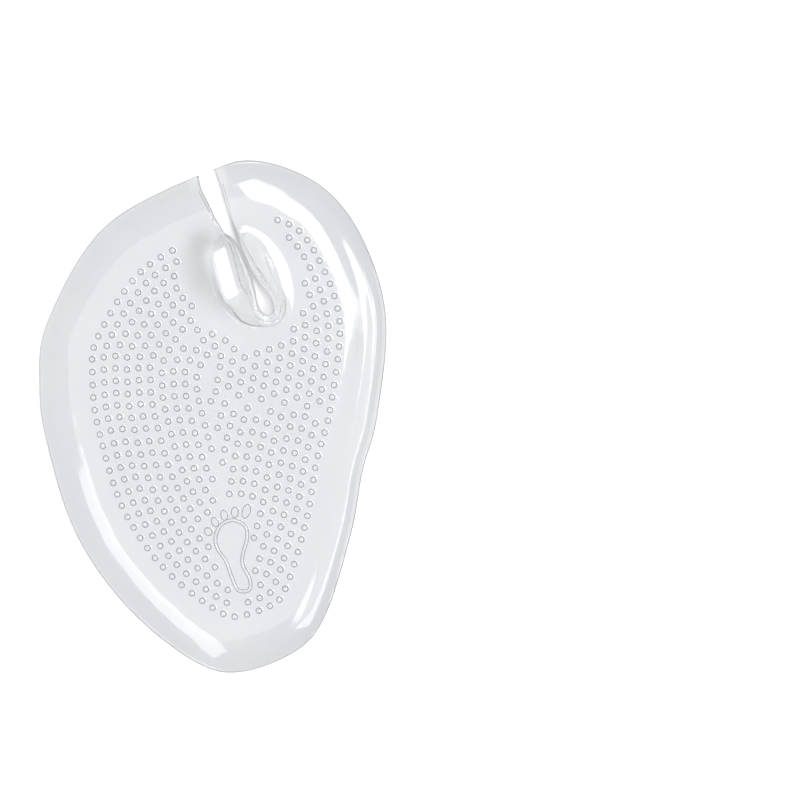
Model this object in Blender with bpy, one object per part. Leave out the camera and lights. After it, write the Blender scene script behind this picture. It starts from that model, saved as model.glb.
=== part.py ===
"""Gel forefoot pad with a split toe-post collar, moulded in one piece of clear silicone.

The left pad of a pair. Metres, +Z up, +Y towards the toes, underside on Z = 0, origin under the
middle of the pad.
"""

import math

import bmesh
import bpy
import numpy as np
from mathutils import Matrix, Vector

PAD_LENGTH = 0.100
PAD_WIDTH = 0.0678
FIELD_THICKNESS = 0.0030
EDGE_THICKNESS = 0.0010
EDGE_ROUND = 0.00035
BORDER_WIDTH = 0.0096
RIDGE_RISE = 0.00055

POST_SETBACK = 0.02234
POST_SIDE = 0.00775
POST_TURN = math.radians(24)
COLLAR_LENGTH = 0.019
COLLAR_WIDTH = 0.0115
COLLAR_HEIGHT = 0.0076
COLLAR_CREST = 0.0009
COLLAR_ROOT = 0.0013
SLIT_WIDTH = 0.0033

RING_LENGTH = 0.0246
RING_WIDTH = 0.0166
RING_SIDE = -0.0018
RING_BEAD = 0.0012
RING_RISE = 0.00035
DISH_DEPTH = 0.0004
DISH_BANK = 0.0012

DOT_DIAMETER = 0.00145
DOT_RISE = 0.0005
DOT_PITCH = 0.00232
ROW_PITCH = 0.00225
DOT_MARGIN = 0.0010
DOT_ROOT = 0.0003
NOTCH_CLEARANCE = 0.0027
NOTCH_FORWARD = 0.0009

FOOTPRINT_LENGTH = 0.0172
FOOTPRINT_SIDE = 0.0030
FOOTPRINT_SETBACK = 0.0245
FOOTPRINT_BEAD = 0.0005
FOOTPRINT_CLEARANCE = 0.0013

CUT_SPARE = 0.0015
OVERLAP = 0.0001

OUTLINE_STEPS = 4
DOT_ROW_STEPS = 60
COLLAR_STEPS = 3
RING_STEPS = 32
RING_SIDES = 6
DOT_SIDES = 5
TOE_SIDES = 8
SHARP_ANGLE = math.radians(40)

# Outline, anticlockwise from the arch side: across in pad widths, along in pad lengths, width of
# the border in BORDER_WIDTH, and how much of the arch-side ridge stands there
OUTLINE = (
    (0.468, -0.001, 0.86, 1.00),
    (0.494, 0.191, 0.84, 0.80),
    (0.430, 0.344, 0.88, 0.45),
    (0.313, 0.449, 0.90, 0.20),
    (0.133, 0.500, 1.04, 0.00),
    (-0.022, 0.478, 1.06, 0.00),
    (-0.313, 0.371, 1.08, 0.00),
    (-0.476, 0.187, 0.98, 0.00),
    (-0.500, 0.059, 1.00, 0.00),
    (-0.476, -0.058, 1.00, 0.00),
    (-0.396, -0.228, 1.00, 0.00),
    (-0.251, -0.371, 1.00, 0.00),
    (-0.059, -0.478, 1.04, 0.00),
    (0.078, -0.500, 1.04, 0.00),
    (0.244, -0.455, 0.96, 0.15),
    (0.325, -0.381, 0.86, 0.45),
    (0.395, -0.225, 0.84, 0.85),
    (0.427, -0.106, 0.85, 1.00),
)

# Border from the rolled edge up to the field: inset in border widths, rise from the edge's top
# to the field, and ridge in RIDGE_RISE
BORDER_PROFILE = (
    (0.05, 0.00, 0.0),
    (0.30, 0.36, 1.0),
    (0.60, 0.70, -0.8),
    (0.86, 0.95, 0.0),
    (1.00, 1.00, 0.0),
)

# Lip of the collar from the left flap's nose round the rear to the right flap's nose: along in
# collar lengths and across in collar widths; then inset of the post opening, outset of the crest
# and outset of the foot in collar widths; then rise of the lip and of the crest in collar heights
COLLAR_WALL = (
    (-0.490, -0.195, 0.055, 0.090, 0.130, 0.15, 0.30),
    (-0.370, -0.130, 0.100, 0.320, 0.250, 0.24, 0.72),
    (-0.180, -0.165, 0.147, 0.360, 0.235, 0.29, 0.97),
    (0.025, -0.225, 0.200, 0.340, 0.220, 0.29, 1.00),
    (0.155, -0.210, 0.150, 0.340, 0.260, 0.28, 0.86),
    (0.250, -0.215, 0.110, 0.190, 0.320, 0.26, 0.46),
    (0.370, -0.225, 0.110, 0.080, 0.260, 0.25, 0.32),
    (0.480, -0.140, 0.110, 0.060, 0.110, 0.24, 0.29),
    (0.518, 0.000, 0.120, 0.055, 0.085, 0.24, 0.29),
    (0.478, 0.145, 0.110, 0.060, 0.100, 0.24, 0.29),
    (0.360, 0.200, 0.090, 0.095, 0.150, 0.25, 0.42),
    (0.220, 0.185, 0.085, 0.180, 0.175, 0.26, 0.74),
    (0.050, 0.150, 0.120, 0.230, 0.180, 0.28, 0.95),
    (-0.130, 0.110, 0.090, 0.270, 0.180, 0.28, 0.95),
    (-0.290, 0.090, 0.070, 0.240, 0.180, 0.26, 0.74),
    (-0.415, 0.085, 0.055, 0.105, 0.120, 0.15, 0.32),
)

# Slit from past the rim to the flaps' noses: share of the way out, and both edges in slit widths
SLIT = (
    (1.00, -0.48, 0.44),
    (0.79, -0.50, 0.42),
    (0.60, -0.68, 0.38),
    (0.42, -0.64, 0.26),
    (0.22, -0.63, 0.17),
)

# Sole of the footprint, anticlockwise from the heel, in footprint lengths
SOLE = (
    (0.24, -0.48),
    (0.25, -0.36),
    (0.17, -0.20),
    (0.17, -0.08),
    (0.22, 0.12),
    (0.19, 0.25),
    (0.06, 0.31),
    (-0.07, 0.26),
    (-0.14, 0.12),
    (-0.11, -0.02),
    (-0.02, -0.15),
    (0.04, -0.32),
    (0.12, -0.48),
)

# Toes of the footprint: centre, length and width in footprint lengths, and turn in degrees
TOES = (
    (0.21, 0.42, 0.135, 0.095, -18.0),
    (0.08, 0.425, 0.115, 0.070, -6.0),
    (-0.04, 0.375, 0.110, 0.068, 10.0),
    (-0.145, 0.295, 0.100, 0.064, 25.0),
    (-0.225, 0.195, 0.090, 0.060, 38.0),
)


def clear_scene():
    for thing in list(bpy.data.objects):
        bpy.data.objects.remove(thing, do_unlink=True)


def new_collection(name):
    collection = bpy.data.collections.new(name)
    bpy.context.scene.collection.children.link(collection)
    return collection


def silicone():
    """Clear gel with a faint cool tint."""
    material = bpy.data.materials.new("clear_silicone")
    material.use_nodes = True
    shader = material.node_tree.nodes["Principled BSDF"]
    shader.inputs["Base Color"].default_value = (0.90, 0.93, 0.96, 1.0)
    shader.inputs["Roughness"].default_value = 0.08
    shader.inputs["Metallic"].default_value = 0.0
    shader.inputs["IOR"].default_value = 1.41
    shader.inputs["Transmission Weight"].default_value = 0.9
    return material


def smooth_rows(rows, steps, closed):
    """Rows read from a Catmull-Rom curve through the given ones, all columns together."""
    points = [Vector(row) for row in rows]
    count = len(points)
    last = count - 1
    result = []
    for span in range(count if closed else last):
        around = [span + offset for offset in (-1, 0, 1, 2)]
        around = [index % count if closed else min(max(index, 0), last) for index in around]
        before, start, end, after = (points[index] for index in around)
        for step in range(steps):
            t = step / steps
            bend = 2 * before - 5 * start + 4 * end - after
            twist = 3 * start - before - 3 * end + after
            result.append(0.5 * (2 * start + (end - before) * t + bend * t**2 + twist * t**3))
    if not closed:
        result.append(points[last])
    return result


def side_normals(points, closed):
    """Unit normals on the right of the way along a plan curve."""
    last = len(points) - 1
    normals = []
    for index in range(last + 1):
        ahead = points[(index + 1) % (last + 1)] if closed else points[min(index + 1, last)]
        behind = points[index - 1] if closed or index else points[0]
        way = Vector((ahead[0] - behind[0], ahead[1] - behind[1]))
        normals.append(Vector((way.y, -way.x)).normalized())
    return normals


def skin_loops(bm, loops):
    """Triangles between neighbouring closed loops of the same number of vertices."""
    faces = []
    for near, far in zip(loops, loops[1:]):
        count = len(near)
        for index in range(count):
            after = (index + 1) % count
            faces.append(bm.faces.new((near[index], near[after], far[after], far[index])))
    bmesh.ops.triangulate(bm, faces=faces)


def mesh_object(name, bm, collection):
    bmesh.ops.recalc_face_normals(bm, faces=bm.faces)
    mesh = bpy.data.meshes.new(name)
    bm.to_mesh(mesh)
    bm.free()
    mesh.shade_smooth()
    mesh.set_sharp_from_angle(angle=SHARP_ANGLE)
    thing = bpy.data.objects.new(name, mesh)
    collection.objects.link(thing)
    return thing


def tool_object(name, bm, collection):
    """A shape that only cuts the pad or is fused to it."""
    thing = mesh_object(name, bm, collection)
    thing.hide_render = True
    thing.display_type = "WIRE"
    return thing


def add_boolean(target, other, operation):
    boolean = target.modifiers.new(other.name, "BOOLEAN")
    boolean.object = other
    boolean.operation = operation
    boolean.solver = "EXACT"


def pad_outline(steps):
    """Outline points in metres, fitted to the pad's length and width, with border and ridge."""
    rows = smooth_rows(OUTLINE, steps, closed=True)
    fitted = []
    for column, size in ((0, PAD_WIDTH), (1, PAD_LENGTH)):
        values = [row[column] for row in rows]
        middle = (max(values) + min(values)) / 2
        scale = size / (max(values) - min(values))
        fitted.append([(value - middle) * scale for value in values])
    return [(x, y, row[2] * BORDER_WIDTH, row[3]) for x, y, row in zip(*fitted, rows)]


def inset_plan(rows, insets):
    """The outline's plan points, each moved in by its own distance."""
    normals = side_normals(rows, closed=True)
    return [
        (row[0] - normal.x * inset, row[1] - normal.y * inset)
        for row, normal, inset in zip(rows, normals, insets)
    ]


def build_pad(collection):
    """Flat underside, rolled thin edge, sloping border and the thicker level field."""
    rows = pad_outline(OUTLINE_STEPS)
    rolled = inset_plan(rows, [EDGE_ROUND] * len(rows))
    levels = [
        [(x, y, 0.0) for x, y in rolled],
        [(row[0], row[1], EDGE_ROUND) for row in rows],
        [(row[0], row[1], EDGE_THICKNESS - EDGE_ROUND) for row in rows],
    ]
    rise = FIELD_THICKNESS - EDGE_THICKNESS
    for share, height, ridge in BORDER_PROFILE:
        plan = inset_plan(rows, [row[2] * share for row in rows])
        levels.append(
            [
                (x, y, EDGE_THICKNESS + height * rise + ridge * row[3] * RIDGE_RISE)
                for (x, y), row in zip(plan, rows)
            ]
        )
    bm = bmesh.new()
    loops = [[bm.verts.new(point) for point in level] for level in levels]
    skin_loops(bm, loops)
    bm.faces.new(reversed(loops[0]))
    bm.faces.new(loops[-1])
    return mesh_object("gel_pad", bm, collection)


def post_frame():
    """Frame of the toe post on the field: X rearward along the slit, Y to the arch side."""
    place = Matrix.Translation((POST_SIDE, PAD_LENGTH / 2 - POST_SETBACK, FIELD_THICKNESS))
    return place @ Matrix.Rotation(POST_TURN - math.pi / 2, 4, "Z")


def collar_stations():
    """Lip points with the wall's sizes in metres, and the normals out of the collar."""
    sizes = (COLLAR_LENGTH,) + (COLLAR_WIDTH,) * 4 + (COLLAR_HEIGHT,) * 2
    stations = [
        tuple(share * size for share, size in zip(row, sizes))
        for row in smooth_rows(COLLAR_WALL, COLLAR_STEPS, closed=False)
    ]
    return stations, side_normals(stations, closed=False)


def build_collar(collection):
    """Wall round the toe post: two flaps that lean away from the slot, and a low rear saddle."""
    bm = bmesh.new()
    loops = []
    for (along, across, inset, crest, foot, lip_rise, crest_rise), normal in zip(*collar_stations()):
        profile = (
            (-inset - OVERLAP, -COLLAR_ROOT),
            (-inset - OVERLAP, OVERLAP),
            (0.0, lip_rise),
            (crest - 0.5 * COLLAR_CREST, crest_rise - 0.2 * COLLAR_CREST),
            (crest, crest_rise),
            (crest + 0.4 * COLLAR_CREST, crest_rise - 0.4 * COLLAR_CREST),
            (0.85 * foot + 0.15 * crest, 0.35 * crest_rise),
            (foot, 0.4 * COLLAR_CREST),
            (foot + 0.6 * COLLAR_CREST, -COLLAR_ROOT),
        )
        loops.append(
            [
                bm.verts.new((along + normal.x * out, across + normal.y * out, height))
                for out, height in profile
            ]
        )
    skin_loops(bm, loops)
    bm.faces.new(loops[0])
    bm.faces.new(reversed(loops[-1]))
    bm.transform(post_frame())
    return tool_object("collar", bm, collection)


def post_opening():
    """Plan of the post hole and the closed slot, from the left flap's nose to the right one's."""
    return [
        (station[0] - normal.x * station[2], station[1] - normal.y * station[2])
        for station, normal in zip(*collar_stations())
    ]


def build_post_cut(collection):
    """Slit from the rim, slot between the flaps and post hole, cut right through."""
    opening = post_opening()
    reach = POST_SETBACK / math.cos(POST_TURN) + CUT_SPARE
    left = []
    right = []
    for share, left_edge, right_edge in SLIT:
        left_nose = opening[0][0]
        right_nose = opening[-1][0]
        left.append((left_nose - share * (reach + left_nose), left_edge * SLIT_WIDTH))
        right.append((right_nose - share * (reach + right_nose), right_edge * SLIT_WIDTH))
    bm = bmesh.new()
    floor = -FIELD_THICKNESS - CUT_SPARE
    plan = [bm.verts.new((u, v, floor)) for u, v in left + opening + right[::-1]]
    drawn = bmesh.ops.extrude_face_region(bm, geom=[bm.faces.new(plan)])
    top = [item for item in drawn["geom"] if isinstance(item, bmesh.types.BMVert)]
    bmesh.ops.translate(bm, verts=top, vec=(0.0, 0.0, COLLAR_HEIGHT + CUT_SPARE - floor))
    bm.transform(post_frame())
    return tool_object("post_cut", bm, collection)


def build_dish(collection):
    """Shallow oval dish round the collar, with a sloping bank."""
    bm = bmesh.new()
    rim = RING_WIDTH / 2
    bmesh.ops.create_cone(
        bm,
        cap_ends=True,
        segments=RING_STEPS,
        radius1=rim - DISH_BANK,
        radius2=rim + DISH_BANK,
        depth=2 * DISH_DEPTH,
    )
    stretch = Matrix.Diagonal((RING_LENGTH / RING_WIDTH, 1.0, 1.0, 1.0))
    bm.transform(post_frame() @ Matrix.Translation((0.0, RING_SIDE, 0.0)) @ stretch)
    return tool_object("dish", bm, collection)


def build_ring(collection):
    """Low oval bead on the rim of the dish."""
    bm = bmesh.new()
    loops = []
    for step in range(RING_STEPS):
        turn = 2 * math.pi * step / RING_STEPS
        loop = []
        for side in range(RING_SIDES):
            angle = 2 * math.pi * side / RING_SIDES
            out = math.cos(angle) * RING_BEAD / 2
            along = (RING_LENGTH / 2 + out) * math.cos(turn)
            across = RING_SIDE + (RING_WIDTH / 2 + out) * math.sin(turn)
            loop.append(bm.verts.new((along, across, RING_RISE * (2 * math.sin(angle) - 0.7))))
        loops.append(loop)
    skin_loops(bm, loops + loops[:1])
    bm.transform(post_frame())
    return tool_object("ring", bm, collection)


def footprint_place():
    """Plan centre of the footprint, measured in from the heel end."""
    return Vector((FOOTPRINT_SIDE, FOOTPRINT_SETBACK - PAD_LENGTH / 2))


def sole_points(steps):
    rows = smooth_rows(SOLE, steps, closed=True)
    return [footprint_place() + row * FOOTPRINT_LENGTH for row in rows]


def toe_points(toe, sides):
    x, y, length, width, turn = toe
    centre = footprint_place() + Vector((x, y)) * FOOTPRINT_LENGTH
    spin = Matrix.Rotation(math.radians(turn), 2)
    points = []
    for side in range(sides):
        angle = 2 * math.pi * side / sides
        reach = Vector((math.cos(angle) * width, math.sin(angle) * length)) * FOOTPRINT_LENGTH / 2
        points.append(centre + spin @ reach)
    return points


def add_bead(bm, points):
    """A closed bead of diamond section along plan points, half sunk in the field."""
    half = FOOTPRINT_BEAD / 2
    section = ((half, 0.0), (0.0, half), (-half, 0.0), (0.0, -half))
    loops = []
    for point, normal in zip(points, side_normals(points, closed=True)):
        places = [(*(point + normal * out), FIELD_THICKNESS + up) for out, up in section]
        loops.append([bm.verts.new(place) for place in places])
    skin_loops(bm, loops + loops[:1])


def footprint_reach():
    """Points all over the footprint, which the dots stay clear of."""
    edge = sole_points(3)
    centre = sum(edge, Vector((0.0, 0.0))) / len(edge)
    inside = [point.lerp(centre, share) for point in edge for share in (0.3, 0.6, 0.9)]
    toes = [point for toe in TOES for point in toe_points(toe, TOE_SIDES)]
    return np.array([tuple(point) for point in edge + inside + toes])


def in_notch(x, y):
    """Whether a place on the field is within the plain oval round the ring."""
    local = post_frame().inverted() @ Vector((x, y, FIELD_THICKNESS))
    along = (local.x + NOTCH_FORWARD) / (RING_LENGTH / 2 + NOTCH_CLEARANCE)
    across = (local.y - RING_SIDE) / (RING_WIDTH / 2 + NOTCH_CLEARANCE)
    return math.hypot(along, across) < 1.0


def nearest_gap(points, spot):
    return np.hypot(*(np.array(points) - spot).T).min() if len(points) else math.inf


def depth_inside(edge, normals, spot):
    """How far in from the edge a place lies, below zero outside the edge."""
    ways = edge - spot
    gaps = np.hypot(*ways.T)
    nearest = gaps.argmin()
    return math.copysign(gaps[nearest], ways[nearest] @ normals[nearest])


def dot_centres():
    """Staggered rows that follow the field's edge inwards, clear of the ring and the footprint."""
    rows = pad_outline(DOT_ROW_STEPS)
    edge = np.array(inset_plan(rows, [row[2] for row in rows]))
    normals = np.array(side_normals(edge, closed=True))
    footprint = footprint_reach()
    tolerance = 0.01 * ROW_PITCH
    kept = []
    for row in range(int(PAD_WIDTH / 2 / ROW_PITCH)):
        inset = DOT_MARGIN + row * ROW_PITCH
        last = None
        travelled = DOT_PITCH * (0.5 if row % 2 else 1.0)
        for spot in edge - normals * inset:
            if depth_inside(edge, normals, spot) < inset - tolerance:
                last = None
                continue
            if last is not None:
                travelled += math.hypot(*(spot - last))
            last = spot
            if travelled < DOT_PITCH:
                continue
            travelled = 0.0
            on_mark = in_notch(*spot) or nearest_gap(footprint, spot) < FOOTPRINT_CLEARANCE
            if not on_mark and nearest_gap(kept, spot) > 0.88 * DOT_PITCH:
                kept.append(spot)
    return kept


def build_relief(collection):
    """Raised dots and the raised footprint outline on the field."""
    bm = bmesh.new()
    add_bead(bm, sole_points(2))
    for toe in TOES:
        add_bead(bm, toe_points(toe, TOE_SIDES))
    for x, y in dot_centres():
        bmesh.ops.create_cone(
            bm,
            cap_ends=True,
            segments=DOT_SIDES,
            radius1=0.58 * DOT_DIAMETER,
            radius2=0.26 * DOT_DIAMETER,
            depth=DOT_ROOT + DOT_RISE,
            matrix=Matrix.Translation((x, y, FIELD_THICKNESS + (DOT_RISE - DOT_ROOT) / 2)),
        )
    return tool_object("relief", bm, collection)


def main():
    clear_scene()
    parts = new_collection("silicone_toe_protector")
    tools = new_collection("silicone_toe_protector_tools")
    pad = build_pad(parts)
    pad.data.materials.append(silicone())
    add_boolean(pad, build_relief(tools), "UNION")
    add_boolean(pad, build_dish(tools), "DIFFERENCE")
    add_boolean(pad, build_ring(tools), "UNION")
    add_boolean(pad, build_collar(tools), "UNION")
    add_boolean(pad, build_post_cut(tools), "DIFFERENCE")


main()
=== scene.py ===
"""Looks of a clear silicone toe protector: one gel moulding on a pale floor, in soft light.

Metres, +Z up, +Y towards the toes. The moulding is lofted, lathed and fused afresh at a fine grain
from the sizes in the sidebar panel, and stands for the plain solid of the frame.
"""

import math

import bmesh
import bpy
import numpy as np
from bpy.props import FloatProperty, FloatVectorProperty, PointerProperty
from bpy.types import Operator, Panel, PropertyGroup
from mathutils import Matrix, Vector, noise
from mathutils.bvhtree import BVHTree


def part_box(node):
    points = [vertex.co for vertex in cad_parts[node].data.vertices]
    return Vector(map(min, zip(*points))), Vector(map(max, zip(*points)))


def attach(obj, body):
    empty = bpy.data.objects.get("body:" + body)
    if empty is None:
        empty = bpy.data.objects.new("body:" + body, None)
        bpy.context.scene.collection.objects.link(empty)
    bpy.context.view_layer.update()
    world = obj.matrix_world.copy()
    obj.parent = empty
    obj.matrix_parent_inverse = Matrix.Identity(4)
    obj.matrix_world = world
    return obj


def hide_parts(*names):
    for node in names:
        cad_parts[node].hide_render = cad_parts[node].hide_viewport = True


bl_info = {
    "name": "Silicone toe protector",
    "version": (1, 0, 0),
    "blender": (4, 5, 0),
    "location": "3D View > Sidebar > Toe pad",
    "description": "Builds a clear gel forefoot pad with a split toe-post collar and its studio",
    "category": "Add Mesh",
}

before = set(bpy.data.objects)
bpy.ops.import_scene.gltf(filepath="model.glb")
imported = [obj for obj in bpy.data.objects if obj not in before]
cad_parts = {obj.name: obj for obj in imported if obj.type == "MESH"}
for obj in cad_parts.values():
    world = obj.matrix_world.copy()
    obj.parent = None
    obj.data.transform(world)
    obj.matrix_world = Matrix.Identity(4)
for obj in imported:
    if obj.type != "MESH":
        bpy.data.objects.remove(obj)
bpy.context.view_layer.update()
PAD_LOW, PAD_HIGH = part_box("gel_pad")
PAD_SIZE = PAD_HIGH - PAD_LOW

PIECE = "gel_moulding"


def millimetres(value):
    """Millimetres as metres."""
    return value / 1000


# Outline, anticlockwise from the arch side: across in pad widths, along in pad lengths, width of
# the border in border widths, and how much of the arch-side ridge stands there
OUTLINE = (
    (0.468, -0.001, 0.86, 1.00),
    (0.494, 0.191, 0.84, 0.80),
    (0.430, 0.344, 0.88, 0.45),
    (0.313, 0.449, 0.90, 0.20),
    (0.133, 0.500, 1.04, 0.00),
    (-0.022, 0.478, 1.06, 0.00),
    (-0.313, 0.371, 1.08, 0.00),
    (-0.476, 0.187, 0.98, 0.00),
    (-0.500, 0.059, 1.00, 0.00),
    (-0.476, -0.058, 1.00, 0.00),
    (-0.396, -0.228, 1.00, 0.00),
    (-0.251, -0.371, 1.00, 0.00),
    (-0.059, -0.478, 1.04, 0.00),
    (0.078, -0.500, 1.04, 0.00),
    (0.244, -0.455, 0.96, 0.15),
    (0.325, -0.381, 0.86, 0.45),
    (0.395, -0.225, 0.84, 0.85),
    (0.427, -0.106, 0.85, 1.00),
)

# Border from the rolled edge up to the field: inset in border widths, rise from the edge's top
# to the field, and ridge in ridge rises
BORDER_PROFILE = (
    (0.05, 0.00, 0.00),
    (0.10, 0.10, 0.72),
    (0.16, 0.22, 1.05),
    (0.21, 0.31, 1.22),
    (0.27, 0.41, 1.18),
    (0.33, 0.50, 0.94),
    (0.40, 0.60, 0.48),
    (0.50, 0.72, 0.00),
    (0.62, 0.84, -0.22),
    (0.75, 0.93, -0.25),
    (0.88, 0.985, -0.16),
    (1.00, 1.00, 0.00),
)

# Oval rim round the collar, from the level field in to the floor of the dish: out from the rim's
# crest in bead widths, and rise in ring rises above the field or dish depths below it
RING_PROFILE = (
    (0.60, 0.00, 0.0),
    (0.30, 0.06, 0.0),
    (-0.25, 0.33, 0.0),
    (-0.75, 0.61, 0.0),
    (-1.20, 0.88, 0.0),
    (-1.50, 1.00, 0.0),
    (-1.80, 0.82, 0.05),
    (-2.15, 0.28, 0.35),
    (-2.55, 0.03, 0.80),
    (-3.00, 0.00, 1.0),
)

# Lip of the collar from the left flap's nose round the rear to the right flap's nose: along in
# collar lengths and across in collar widths; then inset of the post opening, outset of the crest
# and outset of the foot in collar widths; then rise of the lip and of the crest in collar heights
COLLAR_WALL = (
    (-0.490, -0.195, 0.055, 0.130, 0.165, 0.74, 0.77),
    (-0.370, -0.130, 0.100, 0.320, 0.350, 0.84, 0.895),
    (-0.180, -0.165, 0.147, 0.360, 0.395, 0.89, 0.955),
    (0.025, -0.225, 0.200, 0.340, 0.375, 0.92, 0.985),
    (0.155, -0.210, 0.150, 0.345, 0.380, 0.90, 0.965),
    (0.250, -0.215, 0.110, 0.250, 0.350, 0.56, 0.60),
    (0.370, -0.225, 0.110, 0.080, 0.260, 0.25, 0.32),
    (0.480, -0.140, 0.110, 0.060, 0.110, 0.24, 0.29),
    (0.518, 0.000, 0.120, 0.055, 0.085, 0.24, 0.29),
    (0.478, 0.145, 0.110, 0.060, 0.100, 0.24, 0.29),
    (0.360, 0.200, 0.090, 0.095, 0.150, 0.32, 0.42),
    (0.220, 0.185, 0.085, 0.180, 0.215, 0.58, 0.74),
    (0.050, 0.150, 0.120, 0.230, 0.265, 0.78, 0.95),
    (-0.130, 0.110, 0.090, 0.270, 0.305, 0.78, 0.95),
    (-0.290, 0.090, 0.070, 0.240, 0.270, 0.58, 0.74),
    (-0.415, 0.085, 0.055, 0.105, 0.120, 0.22, 0.32),
)

# Slit from past the rim to the flaps' noses: share of the way out, and both edges in slit widths
SLIT = (
    (1.00, -0.48, 0.44),
    (0.79, -0.50, 0.42),
    (0.60, -0.68, 0.38),
    (0.42, -0.64, 0.26),
    (0.22, -0.63, 0.17),
)

# Sole of the footprint, anticlockwise from the heel, in footprint lengths
SOLE = (
    (0.24, -0.48),
    (0.25, -0.36),
    (0.17, -0.20),
    (0.17, -0.08),
    (0.22, 0.12),
    (0.19, 0.25),
    (0.06, 0.31),
    (-0.07, 0.26),
    (-0.14, 0.12),
    (-0.11, -0.02),
    (-0.02, -0.15),
    (0.04, -0.32),
    (0.12, -0.48),
)

# Toes of the footprint: centre, length and width in footprint lengths, and turn in degrees
TOES = (
    (0.21, 0.410, 0.165, 0.092, -18.0),
    (0.08, 0.400, 0.122, 0.082, -6.0),
    (-0.04, 0.365, 0.118, 0.080, 10.0),
    (-0.145, 0.288, 0.114, 0.080, 25.0),
    (-0.220, 0.180, 0.100, 0.084, 42.0),
)

# Half section of a dot, from its sunk root to its top: out in dot diameters, height in dot rises
DOT_PROFILE = (
    (0.69, -0.60),
    (0.69, -0.012),
    (0.60, 0.014),
    (0.52, 0.038),
    (0.455, 0.060),
    (0.43, 0.26),
    (0.40, 0.47),
    (0.365, 0.64),
    (0.30, 0.81),
    (0.21, 0.92),
    (0.10, 0.98),
)

# Half section of a toe's plug: out from its edge in line widths, and height in line rises
TOE_PROFILE = (
    (0.16, -0.80),
    (0.16, -0.02),
    (0.06, 0.06),
    (0.02, 0.32),
    (-0.03, 0.78),
    (-0.09, 1.10),
    (-0.18, 1.25),
)

# Half section of the footprint's raised line: out in half widths, and height in line rises
BEAD_PROFILE = (
    (1.00, -0.80),
    (1.00, -0.02),
    (0.68, 0.06),
    (0.58, 0.30),
    (0.46, 0.70),
    (0.24, 0.94),
)

# Fineness: steps in each span of a curve, and sides of round shapes
OUTLINE_STEPS = 18
BORDER_STEPS = 3
ROLL_STEPS = 4
RING_STEPS = 144
RING_PROFILE_STEPS = 3
COLLAR_STEPS = 9
SECTION_STEPS = 4
SLIT_STEPS = 8
DOT_SIDES = 14
DOT_ROW_STEPS = 60
SOLE_STEPS = 8
TOE_SIDES = 24

# Faces that meet at more than this angle keep a sharp edge
SHARP_ANGLE = math.radians(38)

# Spare length of the slit's cutter past the pad, its underside and its flaps
CUT_SPARE = millimetres(1.5)

# Turns round the oval rim, from its rear, where the bead is highest and the dish deepest
BEAD_HIGHEST = math.radians(70)
DISH_DEEPEST = math.radians(-30)

# Rise of the ledge inside the post opening, in collar heights
LEDGE_RISE = 0.25

# Slack of a row's depth in row pitches, and least gap between dots in pitches
ROW_SLACK = 0.01
DOT_GAP = 0.88

# Attribute that the gel's painted shade and painted highlight follow, its value on the gently
# sloping border, and how bright the border's painted shade is beside the tint of a level face
STEEP = "steep"
BORDER_SHARE = 0.06
BORDER_PAINTED_SHADE = 0.925

# Steepness by zone, from levelness, which is the squared Z of the skin's normal: where it starts,
# the fall of levelness over which it reaches one, and the most that it may be
SLIT_STEEPNESS = (0.98, 0.50, 0.62)
BORDER_GENTLENESS = (1.00, 0.117, 1.0)
BORDER_STEEPNESS = (0.45, 0.35, 1.0)
FIELD_STEEPNESS = (0.99, 0.55, 1.0)

# A face counts as level above this levelness, or where its corners' heights differ by less
LEVEL = 0.9995
LEVEL_HEIGHT = millimetres(0.002)

# Sockets of a Mix node that mixes colours, by number because their names repeat
MIX_A = 6
MIX_B = 7
MIX_RESULT = 2

# Softboxes round the pad: azimuth from +X, angle off the zenith and spin in degrees, and sides
# in metres; then their distance, how far the floor reaches, and its gap under the pad
SOFTBOXES = (
    ("top", (200.0, 4.0, 0.0), (1.5, 1.5)),
    ("key", (75.0, 18.0, -47.0), (0.45, 1.35)),
    ("fill", (229.0, 28.4, -21.7), (0.42, 1.15)),
    ("rim", (-15.0, 31.0, 0.0), (0.8, 1.5)),
)
SOFTBOX_DISTANCE = 2.0
FLOOR_REACH = 4.0
FLOOR_GAP = millimetres(0.1)

# The photograph's frame in pixels: its side, the pad's length in it and the pad's middle
PHOTO_SIDE = 800
PHOTO_PAD_LENGTH = 512.0
PHOTO_PAD_MIDDLE = (213.0, 416.5)


def length_property(name, description, default):
    """A length in metres, shown to a hundredth of a millimetre."""
    return FloatProperty(
        name=name,
        description=description,
        default=default,
        unit="LENGTH",
        subtype="DISTANCE",
        precision=5,
    )


class ToePadBody(PropertyGroup):
    """Sizes of the pad's body."""

    length: length_property("Length", "Length of the pad", PAD_SIZE.y)
    width: length_property("Width", "Width of the pad", PAD_SIZE.x)
    field: length_property("Field", "Thickness of the level field", millimetres(3.0))
    edge: length_property("Edge", "Thickness of the thin rim", millimetres(1.0))
    edge_round: length_property("Edge round", "Radius of the rolled rim", millimetres(0.35))
    border: length_property("Border", "Width of the sloping border", millimetres(9.6))
    ridge: length_property("Ridge", "Rise of the ridge on the arch side", millimetres(0.55))
    ripple: length_property("Ripple", "Height of the gel's gentle waves", millimetres(0.05))


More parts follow.
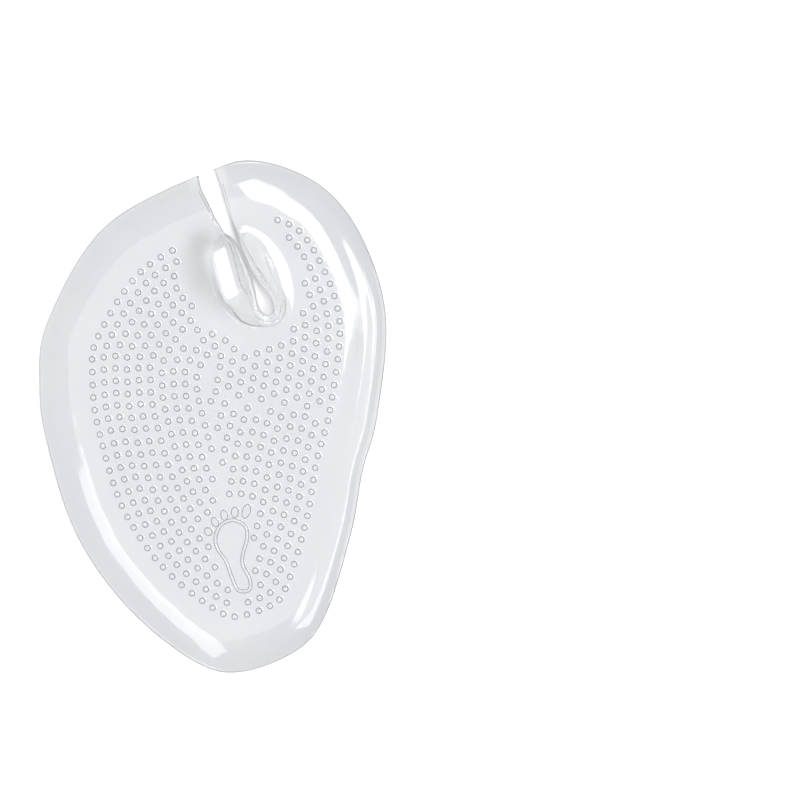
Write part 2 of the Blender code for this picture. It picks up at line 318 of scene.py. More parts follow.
class ToePadCollar(PropertyGroup):
    """Sizes of the toe-post collar, its slit and the dish round it."""

    setback: length_property("Setback", "From the toe end to the post", millimetres(22.34))
    side: length_property("Side", "Post's place to the arch side", millimetres(7.75))
    turn: FloatProperty(
        name="Turn",
        description="Turn of the slit from the pad's length",
        default=math.radians(24),
        unit="ROTATION",
        subtype="ANGLE",
    )
    length: length_property("Length", "Length of the collar", millimetres(19.0))
    width: length_property("Width", "Width of the collar", millimetres(11.5))
    height: length_property("Height", "Rise of the flaps above the field", millimetres(7.6))
    crest: length_property("Crest", "Thickness of a flap at its top", millimetres(0.9))
    root: length_property("Root", "Depth of the collar in the field", millimetres(1.3))
    slit: length_property("Slit", "Width of the slit at the rim", millimetres(3.3))
    slit_round: length_property("Slit round", "Radius on the slit's top edges", millimetres(0.45))
    ring_length: length_property("Ring length", "Length of the oval rim", millimetres(23.0))
    ring_width: length_property("Ring width", "Width of the oval rim", millimetres(16.6))
    ring_back: length_property("Ring back", "Rim's place along the slit", millimetres(0.8))
    ring_side: length_property("Ring side", "Rim's place across the slit", millimetres(-1.8))
    ring_bead: length_property("Ring bead", "Width of the rim's bead", millimetres(1.2))
    ring_rise: length_property("Ring rise", "Rise of the rim's bead", millimetres(0.3))
    dish: length_property("Dish", "Depth of the dish in the field", millimetres(0.4))


class ToePadRelief(PropertyGroup):
    """Sizes of the raised dots and the raised footprint."""

    dot: length_property("Dot", "Diameter of a dot", millimetres(1.45))
    dot_rise: length_property("Dot rise", "Rise of a dot", millimetres(0.5))
    pitch: length_property("Pitch", "Way between dots in a row", millimetres(2.32))
    row_pitch: length_property("Row pitch", "Way between rows", millimetres(2.25))
    margin: length_property("Margin", "From the field's edge to the first row", millimetres(1.0))
    notch_length: length_property("Notch length", "Length of the plain oval", millimetres(30.0))
    notch_width: length_property("Notch width", "Width of the plain oval", millimetres(22.0))
    notch_forward: length_property("Notch forward", "Shift of the plain oval", millimetres(0.9))
    foot_length: length_property("Footprint", "Length of the footprint", millimetres(17.2))
    foot_side: length_property("Footprint side", "Footprint's place across", millimetres(3.0))
    foot_setback: length_property("Footprint setback", "From the heel end", millimetres(24.5))
    foot_bead: length_property("Footprint bead", "Width of its raised line", millimetres(1.15))
    foot_rise: length_property("Footprint rise", "Rise of its raised line", millimetres(0.32))
    foot_clear: length_property("Footprint clear", "Plain band round it", millimetres(1.3))


class ToePadGel(PropertyGroup):
    """Finish of the clear gel."""

    tint: FloatVectorProperty(
        name="Tint",
        description="Colour of light that has come through the gel",
        default=(0.955, 0.96, 0.975),
        subtype="COLOR",
        min=0.0,
        max=1.0,
    )
    # Painted shade: a dark tint on steep faces, which draws the dark rings round the dots, the dark
    # rolled edge and the dark lines along the slit
    painted_deep_shade: FloatVectorProperty(
        name="Deep tint",
        description="The same on steep faces, where more of the gel is looked through",
        default=(0.28, 0.285, 0.31),
        subtype="COLOR",
        min=0.0,
        max=1.0,
    )
    haze: FloatProperty(
        name="Haze",
        description="Share of light that the gel scatters",
        default=0.08,
        subtype="FACTOR",
    )
    roughness: FloatProperty(
        name="Roughness",
        description="Roughness of the moulded skin",
        default=0.07,
        subtype="FACTOR",
    )
    shade: FloatProperty(
        name="Shade",
        description="Light that a level face lets down to the floor",
        default=0.34,
        subtype="FACTOR",
    )


class ToePadStudio(PropertyGroup):
    """Floor and lights."""

    floor: FloatVectorProperty(
        name="Floor",
        description="Colour of the floor",
        default=(0.95, 0.95, 0.95),
        subtype="COLOR",
        min=0.0,
        max=1.0,
    )
    sky: FloatProperty(name="Sky", description="Brightness all round", default=0.15)
    top: FloatProperty(name="Top", description="Brightness of the softbox above", default=1.9)
    key: FloatProperty(
        name="Key",
        description="Brightness of the softbox at the upper right",
        default=8.5,
    )
    fill: FloatProperty(
        name="Fill",
        description="Brightness of the strip at the lower left",
        default=6.0,
    )
    rim: FloatProperty(
        name="Rim",
        description="Brightness of the strip at the arch side",
        default=7.5,
    )


class ToePadSettings(PropertyGroup):
    """Everything that a user may change."""

    body: PointerProperty(type=ToePadBody, name="Body", description="Sizes of the body")
    collar: PointerProperty(type=ToePadCollar, name="Collar", description="Sizes of the collar")
    relief: PointerProperty(type=ToePadRelief, name="Relief", description="Sizes of the relief")
    gel: PointerProperty(type=ToePadGel, name="Gel", description="Finish of the gel")
    studio: PointerProperty(type=ToePadStudio, name="Studio", description="Floor and lights")


def smooth_rows(rows, steps, closed):
    """Rows read from a Catmull-Rom curve through the given ones, all columns together."""
    points = [Vector(row) for row in rows]
    count = len(points)
    last = count - 1
    result = []
    for span in range(count if closed else last):
        around = [span + offset for offset in (-1, 0, 1, 2)]
        around = [index % count if closed else min(max(index, 0), last) for index in around]
        before, start, end, after = (points[index] for index in around)
        for step in range(steps):
            t = step / steps
            bend = 2 * before - 5 * start + 4 * end - after
            twist = 3 * start - before - 3 * end + after
            result.append(0.5 * (2 * start + (end - before) * t + bend * t**2 + twist * t**3))
    if not closed:
        result.append(points[last])
    return result


def side_normals(points, closed):
    """Unit normals on the right of the way along a plan curve."""
    last = len(points) - 1
    normals = []
    for index in range(last + 1):
        ahead = points[(index + 1) % (last + 1)] if closed else points[min(index + 1, last)]
        behind = points[index - 1] if closed or index else points[0]
        way = Vector((ahead[0] - behind[0], ahead[1] - behind[1]))
        normals.append(Vector((way.y, -way.x)).normalized())
    return normals


def loft(bm, levels, joined=False):
    """A skin that starts as a circle moved onto the first level and is extruded level by level.

    Returns the edges of its first and last loops, which are the same when the skin is joined.
    """
    place = bm.verts.layers.int.get("place") or bm.verts.layers.int.new("place")
    verts = bmesh.ops.create_circle(bm, segments=len(levels[0]), radius=1.0)["verts"]
    for index, (vert, point) in enumerate(zip(verts, levels[0])):
        vert[place] = index
        vert.co = point
    first = list({edge for vert in verts for edge in vert.link_edges})
    rim = first
    made = list(verts)
    for level in levels[1:] + (levels[:1] if joined else []):
        grown = bmesh.ops.extrude_edge_only(bm, edges=rim)["geom"]
        fresh = {item for item in grown if isinstance(item, bmesh.types.BMVert)}
        for vert in fresh:
            vert.co = level[vert[place]]
        made += fresh
        edges = [item for item in grown if isinstance(item, bmesh.types.BMEdge)]
        rim = [edge for edge in edges if fresh.issuperset(edge.verts)]
    if joined:
        bmesh.ops.remove_doubles(bm, verts=made, dist=millimetres(0.0005))
    return first, rim


def close_loops(bm, *loops):
    """Fill each loop of edges with a face."""
    for loop in loops:
        bmesh.ops.edgeloop_fill(bm, edges=loop)


def mesh_object(name, bm):
    """The finished bmesh as an object in the scene."""
    bmesh.ops.recalc_face_normals(bm, faces=bm.faces)
    mesh = bpy.data.meshes.new(name)
    bm.to_mesh(mesh)
    bm.free()
    mesh.shade_smooth()
    thing = bpy.data.objects.new(name, mesh)
    bpy.context.scene.collection.objects.link(thing)
    return thing


def made_object(name):
    """An object that an earlier operator made."""
    thing = bpy.data.objects.get(name)
    if thing is None:
        raise RuntimeError(f"{name} isn't made yet: run the operators in the panel's order")
    return thing


def pad_outline(body, steps):
    """Outline points fitted to the pad's length and width, with border width and ridge."""
    rows = smooth_rows(OUTLINE, steps, closed=True)
    fitted = []
    for column, size in ((0, body.width), (1, body.length)):
        values = [row[column] for row in rows]
        middle = (max(values) + min(values)) / 2
        scale = size / (max(values) - min(values))
        fitted.append([(value - middle) * scale for value in values])
    return [(x, y, row[2] * body.border, row[3]) for x, y, row in zip(*fitted, rows)]


def inset_plan(rows, insets):
    """The outline's plan points, each moved in by its own distance."""
    normals = side_normals(rows, closed=True)
    return [
        (row[0] - normal.x * inset, row[1] - normal.y * inset)
        for row, normal, inset in zip(rows, normals, insets)
    ]


def post_frame(settings):
    """Frame of the toe post on the field: X rearward along the slit, Y to the arch side."""
    collar = settings.collar
    body = settings.body
    place = Matrix.Translation((collar.side, body.length / 2 - collar.setback, body.field))
    return place @ Matrix.Rotation(collar.turn - math.pi / 2, 4, "Z")


def body_levels(body):
    """Loops from the underside round the rolled rim and up the border to the level field."""
    rows = pad_outline(body, OUTLINE_STEPS)
    levels = []
    for base, turns in (
        (body.edge_round, range(ROLL_STEPS + 1)),
        (body.edge - body.edge_round, range(ROLL_STEPS, 2 * ROLL_STEPS)),
    ):
        for turn in turns:
            angle = math.pi / 2 * (turn / ROLL_STEPS - 1)
            inset = body.edge_round * (1 - math.cos(angle))
            height = base + body.edge_round * math.sin(angle)
            plan = inset_plan(rows, [inset] * len(rows))
            levels.append([Vector((x, y, height)) for x, y in plan])
    rise = body.field - body.edge
    for share, height, ridge in smooth_rows(BORDER_PROFILE, BORDER_STEPS, closed=False):
        plan = inset_plan(rows, [row[2] * share for row in rows])
        levels.append(
            [
                Vector((x, y, body.edge + height * rise + ridge * row[3] * body.ridge))
                for (x, y), row in zip(plan, rows)
            ]
        )
    return levels


def uneven(turn, peak):
    """Share that is one at the peak's turn and a fifth opposite."""
    return 0.6 + 0.4 * math.cos(turn - peak)


def ring_levels(settings):
    """Oval loops over the rim's bead and down the bank to the dish's floor."""
    collar = settings.collar
    place = post_frame(settings)
    levels = []
    for out, rise, depth in smooth_rows(RING_PROFILE, RING_PROFILE_STEPS, closed=False):
        level = []
        for step in range(RING_STEPS):
            turn = 2 * math.pi * step / RING_STEPS
            along = (collar.ring_length / 2 + out * collar.ring_bead) * math.cos(turn)
            along += collar.ring_back
            across = (collar.ring_width / 2 + out * collar.ring_bead) * math.sin(turn)
            height = rise * uneven(turn, BEAD_HIGHEST) * collar.ring_rise
            height -= depth * uneven(turn, DISH_DEEPEST) * collar.dish
            level.append(place @ Vector((along, collar.ring_side + across, height)))
        levels.append(level)
    return levels


class ToePadBodyBuild(Operator):
    """Loft the pad's body with its border, oval rim and dish"""

    bl_idname = "toe_pad.body"
    bl_label = "Loft the body"

    def execute(self, context):
        settings = context.scene.toe_pad
        bm = bmesh.new()
        underside, field_edge = loft(bm, body_levels(settings.body))
        ring_edge, dish_edge = loft(bm, ring_levels(settings))
        close_loops(bm, underside, dish_edge)
        bmesh.ops.triangle_fill(bm, edges=field_edge + ring_edge, normal=(0.0, 0.0, 1.0))
        mesh_object("body", bm)
        return {"FINISHED"}


def collar_stations(collar):
    """Lip points with the wall's sizes in metres, and the normals out of the collar."""
    sizes = (collar.length,) + (collar.width,) * 4 + (collar.height,) * 2
    stations = [
        tuple(share * size for share, size in zip(row, sizes))
        for row in smooth_rows(COLLAR_WALL, COLLAR_STEPS, closed=False)
    ]
    return stations, side_normals(stations, closed=False)


def collar_section(collar, inset, crest, foot, lip_rise, crest_rise):
    """Section of the wall from inside the opening over the lip and crest to the foot's flare."""
    thick = collar.crest
    dish = collar.dish
    ledge = min(lip_rise, LEDGE_RISE * collar.height)
    rows = (
        # Wall of the opening, from its root up to the ledge
        (-inset - 0.1 * thick, -collar.root),
        (-inset - 0.1 * thick, -0.5 * collar.root),
        (-inset - 0.1 * thick, 0.0),
        (-inset, 0.80 * ledge),
        # Ledge, then the rise to the lip
        (-0.85 * inset, 0.93 * ledge),
        (-0.5 * inset, 0.965 * ledge),
        (-0.22 * inset, 1.00 * ledge),
        (-0.08 * inset, 0.5 * (lip_rise + ledge)),
        # Top of the flap, from its lip to its crest
        (0.06 * crest, lip_rise),
        (0.24 * crest, 0.8 * lip_rise + 0.2 * crest_rise),
        (0.5 * crest, 0.5 * (lip_rise + crest_rise)),
        (crest - 0.55 * thick, crest_rise - 0.05 * thick),
        (crest, crest_rise),
        (crest + 0.42 * thick, crest_rise - 0.4 * thick),
        # Back of the flap, and the flare where its foot meets the dish
        (0.7 * crest + 0.3 * foot + 0.35 * thick, 0.66 * crest_rise),
        (0.85 * foot + 0.15 * crest, 0.35 * crest_rise),
        (foot, 0.35 * thick - 0.5 * dish),
        (foot + 0.6 * thick, -0.8 * dish),
        (foot + 1.3 * thick, -dish - 0.12 * thick),
        (foot + 1.3 * thick, -collar.root),
    )
    return smooth_rows(rows, SECTION_STEPS, closed=False)


def collar_levels(settings):
    """Sections of the collar's wall, from the left flap's nose round the rear to the right one's."""
    collar = settings.collar
    place = post_frame(settings)
    levels = []
    for (along, across, *shape), normal in zip(*collar_stations(collar)):
        levels.append(
            [
                place @ Vector((along + normal.x * out, across + normal.y * out, height))
                for out, height in collar_section(collar, *shape)
            ]
        )
    return levels


def slit_plan(settings):
    """Plan of the slit, slot and post hole in the post's frame, with each point's way outwards.

    Each point's third number is its edge's radius in slit rounds, which grows towards the rim.
    """
    collar = settings.collar
    stations, normals = collar_stations(collar)
    opening = [
        (station[0] - normal.x * station[2], station[1] - normal.y * station[2], 1.0)
        for station, normal in zip(stations, normals)
    ]
    reach = collar.setback / math.cos(collar.turn) + CUT_SPARE
    left_nose = opening[0][0]
    right_nose = opening[-1][0]
    left = []
    right = []
    for share, left_edge, right_edge in smooth_rows(SLIT, SLIT_STEPS, closed=False):
        for side, nose, edge in ((left, left_nose, left_edge), (right, right_nose, right_edge)):
            side.append((nose - share * (reach + nose), edge * collar.slit, 1.0 + share))
    plan = left + opening + right[::-1]
    return plan, side_normals(plan, closed=True)


def cutter_levels(settings, surface):
    """Loops of the cutter, which flares where it meets the surface so that the edges are round."""
    collar = settings.collar
    place = post_frame(settings)
    plan, normals = slit_plan(settings)
    low = -settings.body.field - CUT_SPARE
    high = collar.height + CUT_SPARE
    tops = []
    for u, v, _ in plan:
        spot = place @ Vector((u, v, high))
        hit = surface.ray_cast(spot, Vector((0.0, 0.0, -1.0)))[0]
        tops.append((hit.z if hit else settings.body.edge) - settings.body.field)
    levels = [[place @ Vector((u, v, low)) for u, v, _ in plan]]
    for turn in range(ROLL_STEPS + 1):
        angle = math.pi / 2 * turn / ROLL_STEPS
        flare = collar.slit_round * (1 - math.cos(angle))
        drop = collar.slit_round * (1 - math.sin(angle))
        level = []
        for (u, v, size), normal, top in zip(plan, normals, tops):
            spot = (u + normal.x * flare * size, v + normal.y * flare * size, top - drop * size)
            level.append(place @ Vector(spot))
        levels.append(level)
    levels.append([point + Vector((0.0, 0.0, high)) for point in levels[-1]])
    return levels


class ToePadCollarBuild(Operator):
    """Loft the split collar and the cutter for its slit, slot and post hole"""

    bl_idname = "toe_pad.collar"
    bl_label = "Loft the collar"

    def execute(self, context):
        settings = context.scene.toe_pad
        body = made_object("body")
        surface = BVHTree.FromObject(body, context.evaluated_depsgraph_get())
        for name, levels in (
            ("collar", collar_levels(settings)),
            ("post_cut", cutter_levels(settings, surface)),
        ):
            bm = bmesh.new()
            close_loops(bm, *loft(bm, levels))
            mesh_object(name, bm)
        return {"FINISHED"}


def footprint_place(settings):
    """Middle of the footprint in plan."""
    relief = settings.relief
    return Vector((relief.foot_side, relief.foot_setback - settings.body.length / 2))


def sole_points(settings, steps):
    """Plan points round the sole."""
    rows = smooth_rows(SOLE, steps, closed=True)
    return [footprint_place(settings) + row * settings.relief.foot_length for row in rows]


def toe_points(settings, toe, out=0.0):
    """Oval of a toe, moved out from its edge."""
    x, y, length, width, turn = toe
    size = settings.relief.foot_length
    centre = footprint_place(settings) + Vector((x, y)) * size
    spin = Matrix.Rotation(math.radians(turn), 2)
    points = []
    for side in range(TOE_SIDES):
        angle = 2 * math.pi * side / TOE_SIDES
        across = math.cos(angle) * (width * size / 2 + out)
        along = math.sin(angle) * (length * size / 2 + out)
        points.append(centre + spin @ Vector((across, along)))
    return points


def add_bead(bm, settings, points):
    """A closed raised line along plan points, rooted in the field."""
    half = settings.relief.foot_bead / 2
    rise = settings.relief.foot_rise
    field = settings.body.field
    section = [(out * half, rise * height) for out, height in BEAD_PROFILE]
    section += [(-out, height) for out, height in section[::-1]]
    levels = []
    for point, normal in zip(points, side_normals(points, closed=True)):
        spots = [(point + normal * out, field + height) for out, height in section]
        levels.append([Vector((*spot, height)) for spot, height in spots])
    loft(bm, levels, joined=True)


def footprint_reach(settings):
    """Points all over the footprint, which the dots stay clear of."""
    edge = sole_points(settings, 3)
    centre = sum(edge, Vector((0.0, 0.0))) / len(edge)
    inside = [point.lerp(centre, share) for point in edge for share in (0.3, 0.6, 0.9)]
    toes = [point for toe in TOES for point in toe_points(settings, toe)]
    return np.array([tuple(point) for point in edge + inside + toes])


def in_notch(settings, x, y):
    """Whether a place on the field is within the plain oval round the rim."""
    relief = settings.relief
    local = post_frame(settings).inverted() @ Vector((x, y, settings.body.field))
    along = (local.x + relief.notch_forward) / relief.notch_length
    across = (local.y - settings.collar.ring_side) / relief.notch_width
    return math.hypot(along, across) < 0.5


def nearest_gap(points, spot):
    """Distance from a place to the nearest of the points."""
    return np.hypot(*(np.array(points) - spot).T).min() if len(points) else math.inf


def depth_inside(edge, normals, spot):
    """How far in from the edge a place lies, below zero outside the edge."""
    ways = edge - spot
    gaps = np.hypot(*ways.T)
    nearest = gaps.argmin()
    return math.copysign(gaps[nearest], ways[nearest] @ normals[nearest])


def dot_centres(settings):
    """Staggered rows that follow the field's edge inwards, clear of the rim and the footprint."""
    relief = settings.relief
    rows = pad_outline(settings.body, DOT_ROW_STEPS)
    edge = np.array(inset_plan(rows, [row[2] for row in rows]))
    normals = np.array(side_normals(edge, closed=True))
    footprint = footprint_reach(settings)
    slack = ROW_SLACK * relief.row_pitch
    kept = []
    for row in range(int(settings.body.width / 2 / relief.row_pitch)):
        inset = relief.margin + row * relief.row_pitch
        last = None
        travelled = relief.pitch * (0.5 if row % 2 else 1.0)
        for spot in edge - normals * inset:
            if depth_inside(edge, normals, spot) < inset - slack:
                last = None
                continue
            if last is not None:
                travelled += math.hypot(*(spot - last))
            last = spot
            if travelled < relief.pitch:
                continue
            travelled = 0.0
            marked = in_notch(settings, *spot)
            marked = marked or nearest_gap(footprint, spot) < relief.foot_clear
            if not marked and nearest_gap(kept, spot) > DOT_GAP * relief.pitch:
                kept.append(spot)
    return kept


class ToePadReliefBuild(Operator):
    """Raise the dots and the outline of the footprint"""

    bl_idname = "toe_pad.relief"
    bl_label = "Raise the dots and footprint"

    def execute(self, context):
        settings = context.scene.toe_pad
        for name, raise_on in (
            ("dots", self.raise_dots),
            ("sole", self.raise_sole),
            ("toes", self.raise_toes),
        ):
            bm = bmesh.new()
            raise_on(bm, settings)
            mesh_object(name, bm)
        return {"FINISHED"}

    def raise_sole(self, bm, settings):
        """The raised line round the sole."""
        add_bead(bm, settings, sole_points(settings, SOLE_STEPS))

    def raise_toes(self, bm, settings):
        """A low oval plug for each toe."""
        relief = settings.relief
        for toe in TOES:
            levels = []
            for out, height in TOE_PROFILE:
                level = settings.body.field + height * relief.foot_rise
                points = toe_points(settings, toe, out * relief.foot_bead)
                levels.append([Vector((*point, level)) for point in points])
            close_loops(bm, *loft(bm, levels))

    def raise_dots(self, bm, settings):
        """A dot that is lathed once, copied to each of its places and then deleted."""
        relief = settings.relief
        profile = [
            bm.verts.new((out * relief.dot, 0.0, height * relief.dot_rise))
            for out, height in ((0.0, DOT_PROFILE[0][1]),) + DOT_PROFILE + ((0.0, 1.0),)
        ]
        edges = [bm.edges.new(pair) for pair in zip(profile, profile[1:])]
        bmesh.ops.spin(
            bm,
            geom=profile + edges,
            cent=(0.0, 0.0, 0.0),
            axis=(0.0, 0.0, 1.0),
            angle=2 * math.pi,
            steps=DOT_SIDES,
            use_merge=True,
        )
        bmesh.ops.remove_doubles(bm, verts=bm.verts, dist=millimetres(0.001))
        verts = list(bm.verts)
        master = list(bm.faces)
        for x, y in dot_centres(settings):
            copied = bmesh.ops.duplicate(bm, geom=master)["geom"]
            fresh = [item for item in copied if isinstance(item, bmesh.types.BMVert)]
            bmesh.ops.translate(bm, verts=fresh, vec=(x, y, settings.body.field))
        bmesh.ops.delete(bm, geom=verts, context="VERTS")


class Wire:
    """A node's output that takes part in arithmetic, each operation adding its Math node."""

    def __init__(self, graph, socket):
        self.graph = graph
        self.socket = socket

    def maths(self, operation, first, second):
        settings = {"operation": operation}
        return self.graph.add("ShaderNodeMath", settings, {0: first, 1: second})

    def __add__(self, other):
        return self.maths("ADD", self, other)

    def __radd__(self, other):
        return self.maths("ADD", other, self)

    def __sub__(self, other):
        return self.maths("SUBTRACT", self, other)

    def __rsub__(self, other):
        return self.maths("SUBTRACT", other, self)

    def __mul__(self, other):
        return self.maths("MULTIPLY", self, other)

    def __rmul__(self, other):
        return self.maths("MULTIPLY", other, self)

    def __pow__(self, other):
        return self.maths("POWER", self, other)


class Graph:
    """The node tree of a material or world."""

    def __init__(self, tree):
        self.tree = tree
        tree.nodes.clear()

    def add(self, kind, settings=None, sockets=None, output=0):
        """A node of this type with its settings, then its sockets' values or links."""
        node = self.tree.nodes.new(kind)
        for name, value in (settings or {}).items():
            if name == "stops":
                self.set_stops(node.color_ramp, value)
            else:
                setattr(node, name, value)
        for name, value in (sockets or {}).items():
            if isinstance(value, Wire):
                self.tree.links.new(value.socket, node.inputs[name])
            else:
                node.inputs[name].default_value = value
        return Wire(self, node.outputs[output]) if node.outputs else node

    @staticmethod
    def set_stops(ramp, stops):
        while len(ramp.elements) < len(stops):
            ramp.elements.new(1.0)
        for element, (position, colour) in zip(ramp.elements, stops):
            element.position = position
            element.color = colour


def clear_gel(gel):
    """Clear moulded silicone: faint clouds in the gel, a fine ripple, a slightly uneven skin, and
    shade and highlights painted by slope.
    """
    material = bpy.data.materials.new("clear_gel")
    material.use_nodes = True
    graph = Graph(material.node_tree)
    place = graph.add("ShaderNodeTexCoord", output="Object")

    def noise_at(scale, detail, distortion=0.0):
        sockets = {"Vector": place, "Scale": scale, "Detail": detail, "Distortion": distortion}
        return graph.add("ShaderNodeTexNoise", None, sockets, output="Fac")

    clouds = noise_at(45.0, 3.0, 0.4)
    mottle = noise_at(900.0, 2.0)
    ripple = noise_at(160.0, 2.0, 0.6)
    grain = noise_at(3800.0, 1.0)
    steep = graph.add("ShaderNodeAttribute", {"attribute_name": STEEP}, output="Fac")
    # Clear white: the gel's own clear tone among the clouds, and the painted highlight of the slope
    # ramp
    clear = (1.0, 1.0, 1.0, 1.0)
    cloudy = (0.95, 0.955, 0.965, 1.0)
    level = (*gel.tint, 1.0)
    # Painted shade on the border: the gel's tint made darker there
    border = (*(BORDER_PAINTED_SHADE * channel for channel in gel.tint), 1.0)
    # Painted shade for steep faces
    painted_deep_shade = (*gel.painted_deep_shade, 1.0)
    # Painted light by slope: level faces keep the gel's tint, the border gets a painted shade,
    # slopes between the border's and the steep ones get a painted highlight of clear white, and
    # steep faces get the dark painted shade
    stops = ((0.0, level), (BORDER_SHARE, border), (0.12, clear), (0.38, clear), (0.80, painted_deep_shade))
    slope_painted_light = graph.add("ShaderNodeValToRGB", {"stops": stops}, {"Fac": steep})
    cloud_tint = graph.add(
        "ShaderNodeMix",
        {"data_type": "RGBA"},
        {"Factor": clouds, MIX_A: cloudy, MIX_B: clear},
        output=MIX_RESULT,
    )
    tint = graph.add(
        "ShaderNodeMix",
        {"data_type": "RGBA", "blend_type": "MULTIPLY"},
        {"Factor": 1.0, MIX_A: slope_painted_light, MIX_B: cloud_tint},
        output=MIX_RESULT,
    )
    height = ripple * 0.7 + mottle * 0.22 + grain * 0.03
    bump = graph.add(
        "ShaderNodeBump",
        None,
        {"Strength": 0.35, "Distance": millimetres(0.06), "Height": height},
    )
    rough = gel.roughness * (0.65 + mottle * 0.4 + clouds * 0.3)
    skin = graph.add(
        "ShaderNodeBsdfPrincipled",
        None,
        {
            "Base Color": tint,
            "Roughness": rough,
            "Metallic": 0.0,
            "IOR": 1.43,
            "Transmission Weight": 1.0 - gel.haze,
            "Normal": bump,
        },
    )
    facing = graph.add("ShaderNodeLayerWeight", None, {"Blend": 0.5}, output="Facing")
    shadow_ray = graph.add("ShaderNodeLightPath", output="Is Shadow Ray")
    let_through = graph.add("ShaderNodeBsdfTransparent", None, {"Color": (0.98, 0.985, 1.0, 1.0)})
    opened = shadow_ray * (gel.shade * (1.0 - 0.45 * facing**2))
    surface = graph.add("ShaderNodeMixShader", None, {0: opened, 1: skin, 2: let_through})
    graph.add("ShaderNodeOutputMaterial", None, {"Surface": surface})
    return material


def ripple_body(thing, body):
    """Gentle waves over the top of the border, such as a soft moulding has."""
    bm = bmesh.new()
    bm.from_mesh(thing.data)
    low = body.edge + 0.05 * (body.field - body.edge)
    high = body.field - 0.02 * (body.field - body.edge)
    broad_waves = 90.0
    short_waves = 240.0
    for vert in bm.verts:
        if low < vert.co.z < high:
            place = Vector((vert.co.x, vert.co.y, 0.0))
            wave = noise.noise(place * broad_waves) + 0.4 * noise.noise(place * short_waves)
            vert.co.z += body.ripple * wave
    bm.to_mesh(thing.data)
    bm.free()


def steepness(levelness, start, fall, most):
    """Steepness of skin in a zone, from its levelness."""
    return min(max((start - levelness) / fall, 0.0), most)


def steep_share(height, along, across, levelness, settings):
    """Value of the painted-light attribute at a height, and at a place in the post's frame."""
    body = settings.body
    collar = settings.collar
    in_slit = along < -0.5 * collar.length and abs(across) < collar.slit
    on_rolled_edge = height < body.edge - millimetres(0.02)
    on_border = height < body.field - millimetres(0.05)
    on_flaps = height > body.field + 1.3 * settings.relief.dot_rise
    # Painted shade by zone: dark painted lines along the slit's walls, a dark painted outline on the
    # rolled edge, painted shade on the border's steeper parts, and a third of the field's painted
    # shade on the flaps, which keeps their tops white
    if in_slit:
        return steepness(levelness, *SLIT_STEEPNESS)
    if on_rolled_edge:
        return 1.0 - 0.6 * levelness
    if on_border:
        gentle = steepness(levelness, *BORDER_GENTLENESS) * BORDER_SHARE
        return gentle + 0.85 * steepness(levelness, *BORDER_STEEPNESS)
    share = steepness(levelness, *FIELD_STEEPNESS)
    return 0.3 * share if on_flaps else share


def mark_steep(mesh, settings):
    """How steep the skin is, which the gel's painted shade and painted highlight follow."""
    to_post = post_frame(settings).inverted()
    shares = []
    for vert in mesh.vertices:
        local = to_post @ vert.co
        shares.append(steep_share(vert.co.z, local.x, local.y, vert.normal.z**2, settings))
    steep = mesh.attributes.new(STEEP, "FLOAT", "CORNER")
    for face in mesh.polygons:
        heights = [mesh.vertices[vert].co.z for vert in face.vertices]
        level = face.normal.z**2 > LEVEL or max(heights) - min(heights) < LEVEL_HEIGHT
        for corner in face.loop_indices:
            value = 0.0 if level else shares[mesh.loops[corner].vertex_index]
            steep.data[corner].value = value


class ToePadFuse(Operator):
    """Fuse the body, relief and collar into one moulding, cut its slit and give it its finish"""

    bl_idname = "toe_pad.fuse"
    bl_label = "Fuse the moulding"

    def execute(self, context):
        settings = context.scene.toe_pad
        body = made_object("body")
        ripple_body(body, settings.body)
        tools = []
        for name, operation in (
            ("dots", "UNION"),
            ("sole", "UNION"),
            ("toes", "UNION"),
            ("collar", "UNION"),
            ("post_cut", "DIFFERENCE"),
        ):
            tool = made_object(name)
            boolean = body.modifiers.new(name, "BOOLEAN")
            boolean.object = tool
            boolean.operation = operation
            boolean.solver = "MANIFOLD"
            tools.append(tool)
        evaluated = body.evaluated_get(context.evaluated_depsgraph_get())
        mesh = bpy.data.meshes.new_from_object(evaluated)
        mesh.name = PIECE
        for thing in [body, *tools]:
            bpy.data.objects.remove(thing, do_unlink=True)
        mesh.shade_smooth()
        mesh.set_sharp_from_angle(angle=SHARP_ANGLE)
        mark_steep(mesh, settings)
        mesh.materials.clear()
        mesh.materials.append(clear_gel(settings.gel))
        moulding = bpy.data.objects.new(PIECE, mesh)
        context.scene.collection.objects.link(moulding)
        weighted = moulding.modifiers.new("even_shading", "WEIGHTED_NORMAL")
        weighted.keep_sharp = True
        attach(moulding, "root")
        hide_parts("gel_pad")
        return {"FINISHED"}


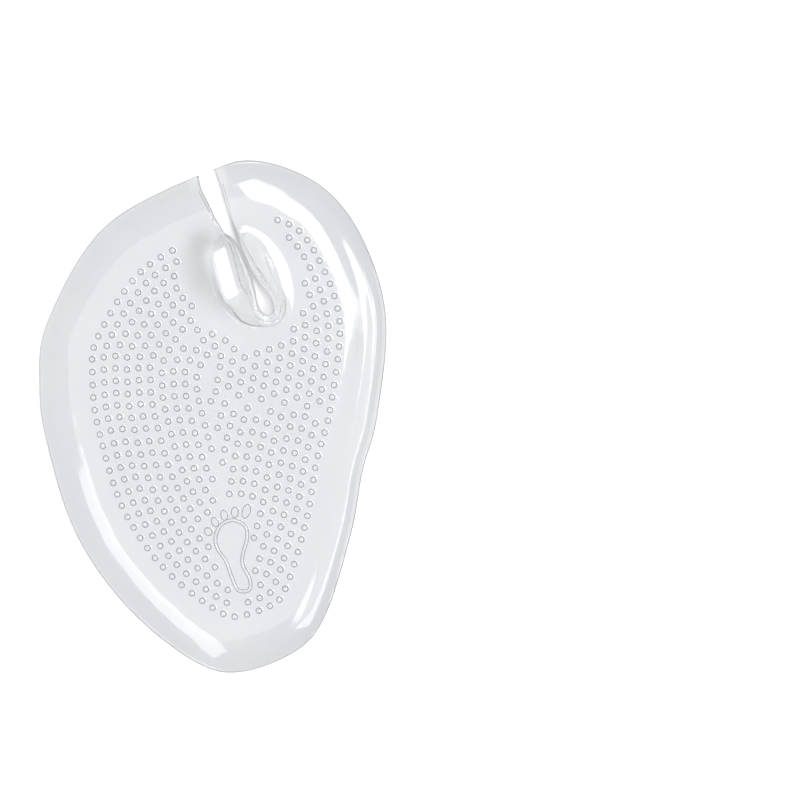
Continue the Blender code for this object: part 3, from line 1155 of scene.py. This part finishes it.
class ToePadStage(Operator):
    """Set the pale floor, the soft lights and the camera"""

    bl_idname = "toe_pad.stage"
    bl_label = "Set the stage"

    def execute(self, context):
        studio = context.scene.toe_pad.studio
        self.lay_floor(studio)
        self.light(context.scene, studio)
        self.place_camera(context.scene)
        context.scene.view_settings.view_transform = "Standard"
        return {"FINISHED"}

    def lay_floor(self, studio):
        bm = bmesh.new()
        bmesh.ops.create_grid(bm, x_segments=1, y_segments=1, size=FLOOR_REACH)
        bmesh.ops.translate(bm, verts=bm.verts, vec=(0.0, 0.0, -FLOOR_GAP))
        floor = mesh_object("floor", bm)
        material = bpy.data.materials.new("pale_floor")
        material.use_nodes = True
        graph = Graph(material.node_tree)
        paint = graph.add(
            "ShaderNodeBsdfPrincipled",
            None,
            {"Base Color": (*studio.floor, 1.0), "Roughness": 0.6, "Specular IOR Level": 0.2},
        )
        graph.add("ShaderNodeOutputMaterial", None, {"Surface": paint})
        floor.data.materials.append(material)

    def light(self, scene, studio):
        world = bpy.data.worlds.new("soft_sky")
        world.use_nodes = True
        graph = Graph(world.node_tree)
        sky = graph.add(
            "ShaderNodeBackground",
            None,
            {"Color": (1.0, 1.0, 1.0, 1.0), "Strength": studio.sky},
        )
        graph.add("ShaderNodeOutputWorld", None, {"Surface": sky})
        scene.world = world
        for name, way, sides in SOFTBOXES:
            self.add_softbox(scene, name, getattr(studio, name), way, sides)

    def add_softbox(self, scene, name, brightness, way, sides):
        """An area light that faces the pad and doesn't show as a lamp through the gel."""
        azimuth, zenith, spin = (math.radians(angle) for angle in way)
        light = bpy.data.lights.new(name, "AREA")
        light.shape = "RECTANGLE"
        light.size, light.size_y = sides
        light.energy = brightness * math.pi * light.size * light.size_y
        lamp = bpy.data.objects.new(name, light)
        lamp.visible_transmission = False
        way_up = Vector(
            (
                math.sin(zenith) * math.cos(azimuth),
                math.sin(zenith) * math.sin(azimuth),
                math.cos(zenith),
            )
        )
        lamp.location = way_up * SOFTBOX_DISTANCE
        turn = Matrix.Rotation(azimuth, 3, "Z") @ Matrix.Rotation(zenith, 3, "Y")
        lamp.rotation_euler = (turn @ Matrix.Rotation(spin, 3, "Z")).to_euler()
        scene.collection.objects.link(lamp)

    def place_camera(self, scene):
        """Straight above, framed as the photograph is, which shows the pad left of its middle."""
        camera = bpy.data.cameras.new("camera")
        camera.lens = 200.0
        camera.sensor_width = 36.0
        camera.clip_start = 0.01
        camera.clip_end = 20.0
        thing = bpy.data.objects.new("camera", camera)
        pixel = PAD_SIZE.y / PHOTO_PAD_LENGTH
        distance = PHOTO_SIDE * pixel * camera.lens / camera.sensor_width
        across, down = PHOTO_PAD_MIDDLE
        half = PHOTO_SIDE / 2
        thing.location = ((half - across) * pixel, (down - half) * pixel, distance)
        scene.collection.objects.link(thing)
        scene.camera = thing


class ToePadPanel(Panel):
    """The operators in their order, with the sizes and colours that they use"""

    bl_label = "Toe pad"
    bl_idname = "VIEW3D_PT_toe_pad"
    bl_space_type = "VIEW_3D"
    bl_region_type = "UI"
    bl_category = "Toe pad"

    def draw(self, context):
        settings = context.scene.toe_pad
        for operator, groups in STEPS:
            self.layout.operator(operator)
            for group in groups:
                box = self.layout.box()
                for name in getattr(settings, group).bl_rna.properties.keys():
                    if name not in {"rna_type", "name"}:
                        box.prop(getattr(settings, group), name)


STEPS = (
    ("toe_pad.body", ("body",)),
    ("toe_pad.collar", ("collar",)),
    ("toe_pad.relief", ("relief",)),
    ("toe_pad.fuse", ("gel",)),
    ("toe_pad.stage", ("studio",)),
)

CLASSES = (
    ToePadBody,
    ToePadCollar,
    ToePadRelief,
    ToePadGel,
    ToePadStudio,
    ToePadSettings,
    ToePadBodyBuild,
    ToePadCollarBuild,
    ToePadReliefBuild,
    ToePadFuse,
    ToePadStage,
    ToePadPanel,
)


def register():
    for kind in CLASSES:
        bpy.utils.register_class(kind)
    bpy.types.Scene.toe_pad = PointerProperty(type=ToePadSettings)


def unregister():
    del bpy.types.Scene.toe_pad
    for kind in reversed(CLASSES):
        bpy.utils.unregister_class(kind)


def main():
    register()
    bpy.ops.toe_pad.body()
    bpy.ops.toe_pad.collar()
    bpy.ops.toe_pad.relief()
    bpy.ops.toe_pad.fuse()
    bpy.ops.toe_pad.stage()


if __name__ == "__main__":
    main()
